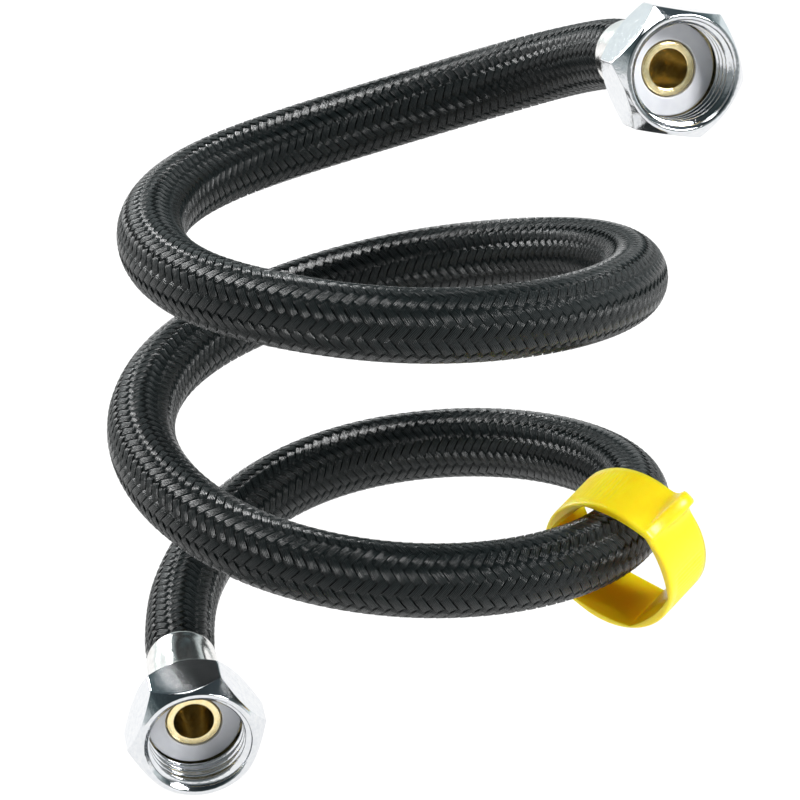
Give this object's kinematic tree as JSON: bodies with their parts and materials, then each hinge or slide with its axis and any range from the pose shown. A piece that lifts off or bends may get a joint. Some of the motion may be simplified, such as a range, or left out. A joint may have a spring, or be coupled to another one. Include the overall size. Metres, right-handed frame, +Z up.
{
  "type": "braided supply line",
  "caption": "Flexible plumbing supply hose in an open coil, braided sleeve over a rubber tube, swivel nut with sealing washer at each end, loose grip collar.",
  "frame": {"origin": "on the upper nut's axis at the inner end of its thread, 0.3 mm in front of the sealing washer", "axes": "+Z up, along the coil's axis; +Y away from the side that the nuts face; +X to the right seen from that side"},
  "size_m": [0.1257, 0.1185, 0.1467],
  "materials": {
    "rubber": "matte black rubber",
    "braid": "black nylon braid with a silky sheen",
    "brass": "machined",
    "washer": "smooth pale grey",
    "ferrule": "bright pressed stainless steel",
    "chrome": "polished chrome plate",
    "yellow_plastic": "semi-gloss moulded plastic"
  },
  "bodies": {
    "hose": {"inner_tube": "rubber", "braid_sleeve": "braid", "upper_stem": "brass", "lower_stem": "brass", "upper_washer": "washer", "lower_washer": "washer", "upper_ferrule": "ferrule", "lower_ferrule": "ferrule"},
    "upper_swivel": {"upper_nut": "chrome"},
    "lower_swivel": {"lower_nut": "chrome"},
    "collar": {"grip_collar": "yellow_plastic"}
  },
  "joints": [
    {"name": "upper_nut_turn", "type": "hinge", "parent": "hose", "child": "upper_swivel", "pos_m": [0, 0, 0], "axis": [0.3023, -0.9303, 0.2079], "continuous": true},
    {"name": "lower_nut_turn", "type": "hinge", "parent": "hose", "child": "lower_swivel", "pos_m": [-0.092, -0.044, -0.1191], "axis": [0.1472, -0.9853, -0.0872], "continuous": true},
    {"name": "collar_turn", "type": "hinge", "parent": "hose", "child": "collar", "pos_m": [-0.0077, -0.0197, -0.0932], "axis": [-0.5589, -0.7982, -0.225], "continuous": true}
  ]
}
